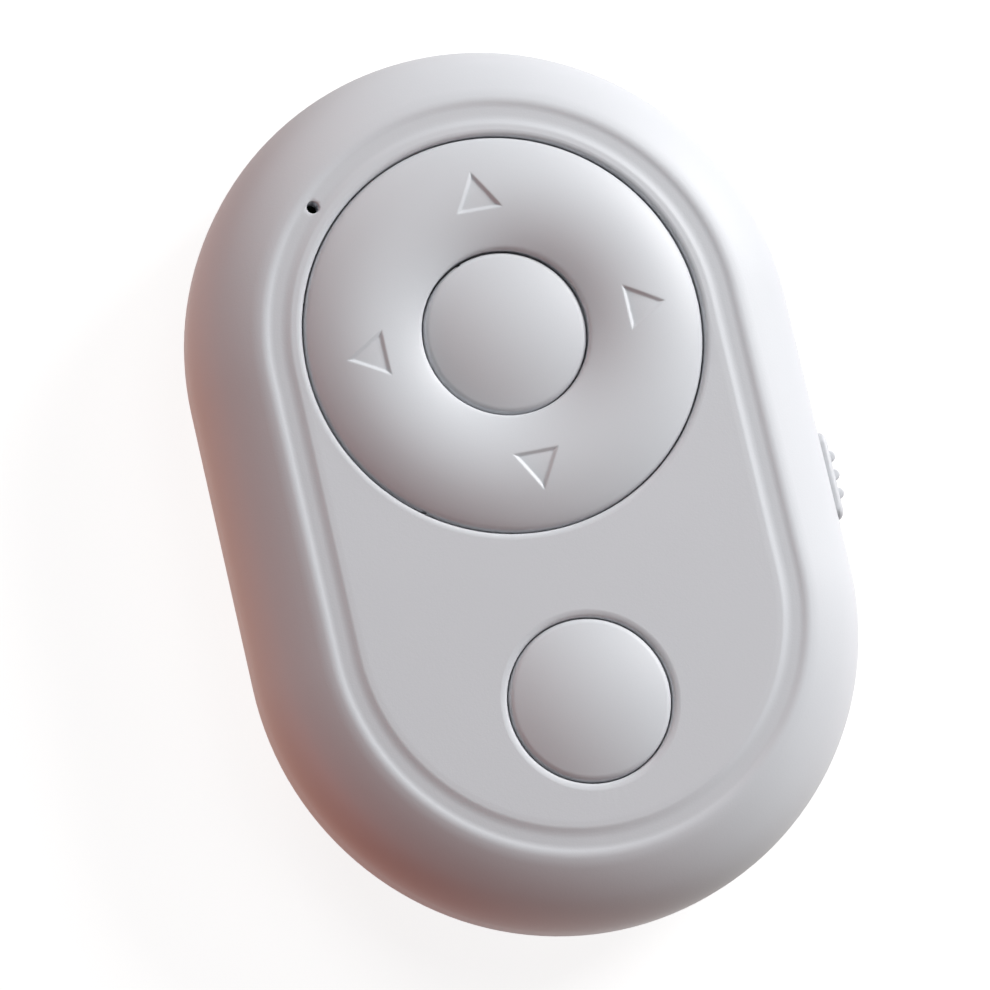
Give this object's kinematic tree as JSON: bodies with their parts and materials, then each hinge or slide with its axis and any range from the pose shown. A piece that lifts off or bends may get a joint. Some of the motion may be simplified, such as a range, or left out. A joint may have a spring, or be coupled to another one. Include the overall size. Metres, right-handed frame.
{
  "type": "bluetooth selfie remote",
  "caption": "Pocket-sized oval remote for a phone camera, with a rocking ring pad, a centre button, a shutter button, a side power slider and a twist-off battery cover.",
  "frame": {"origin": "middle of the flat back, on the axis of the battery cover", "axes": "+Z out through the front face with the keys, +Y along the body towards the ring pad, +X towards the power slider"},
  "size_m": [0.0407, 0.0586, 0.0122],
  "materials": {
    "shell_plastic": "fine matt moulded white ABS",
    "key_plastic": "smooth satin moulded white ABS",
    "silicone": "milky silicone rubber",
    "nickel_sheet": "nickel-plated steel sheet",
    "spring_steel": "bright spring steel",
    "screw_steel": "dark zinc-plated steel",
    "black_plastic": "matt black moulding compound",
    "circuit_board": "green solder-masked glass-fibre board",
    "seal_plastic": "grey polypropylene",
    "cell_filling": "dense grey pellet",
    "led_resin": "clear epoxy on white carrier",
    "ceramic": "tan ceramic with tinned ends",
    "copper": "copper track under varnish"
  },
  "bodies": {
    "housing": {"front_shell": "shell_plastic", "back_shell": "shell_plastic", "switch_can": "nickel_sheet", "switch_base": "black_plastic", "main_board": "circuit_board", "board_screws": "screw_steel", "dome_up": "spring_steel", "dome_down": "spring_steel", "dome_left": "spring_steel", "dome_right": "spring_steel", "dome_centre": "spring_steel", "dome_shutter": "spring_steel", "cell_can": "nickel_sheet", "cell_cap": "nickel_sheet", "cell_seal": "seal_plastic", "cell_core": "cell_filling", "positive_contact": "spring_steel", "negative_contact": "spring_steel", "radio_chip": "black_plastic", "crystal_can": "nickel_sheet", "status_led": "led_resin", "chip_capacitors": "ceramic", "antenna_trace": "copper"},
    "pad_rocker": {"pad_cushion": "silicone"},
    "pad": {"ring_pad": "key_plastic"},
    "centre_key": {"centre_button": "key_plastic"},
    "shutter_key": {"shutter_button": "key_plastic"},
    "power_slider": {"power_knob": "key_plastic", "switch_lever": "black_plastic"},
    "cover": {"battery_cover": "shell_plastic"}
  },
  "joints": [
    {"name": "pad_up_down", "type": "hinge", "parent": "housing", "child": "pad_rocker", "pos_m": [0, 0.0093, 0.0088], "axis": [1, 0, 0], "range_deg": [-1.4, 1.4], "stiffness_Nm_per_rad": 0.6, "deforming": ["dome_up", "dome_down", "pad_cushion"]},
    {"name": "pad_left_right", "type": "hinge", "parent": "pad_rocker", "child": "pad", "pos_m": [0, 0.0093, 0.0088], "axis": [0, 1, 0], "range_deg": [-1.4, 1.4], "stiffness_Nm_per_rad": 0.6, "deforming": ["dome_left", "dome_right", "pad_cushion"]},
    {"name": "centre_press", "type": "slide", "parent": "pad", "child": "centre_key", "axis": [0, 0, -1], "range_m": [0, 0.0003], "stiffness_N_per_m": 4000, "springref_m": -0.0001, "deforming": ["dome_centre"]},
    {"name": "shutter_press", "type": "slide", "parent": "housing", "child": "shutter_key", "axis": [0, 0, -1], "range_m": [0, 0.0003], "stiffness_N_per_m": 4000, "springref_m": -0.0001, "deforming": ["dome_shutter"]},
    {"name": "power_slide", "type": "slide", "parent": "housing", "child": "power_slider", "axis": [0, 1, 0], "range_m": [0, 0.002]},
    {"name": "cover_twist", "type": "hinge", "parent": "housing", "child": "cover", "pos_m": [0, 0, 0], "axis": [0, 0, -1], "range_deg": [0, 40]}
  ]
}
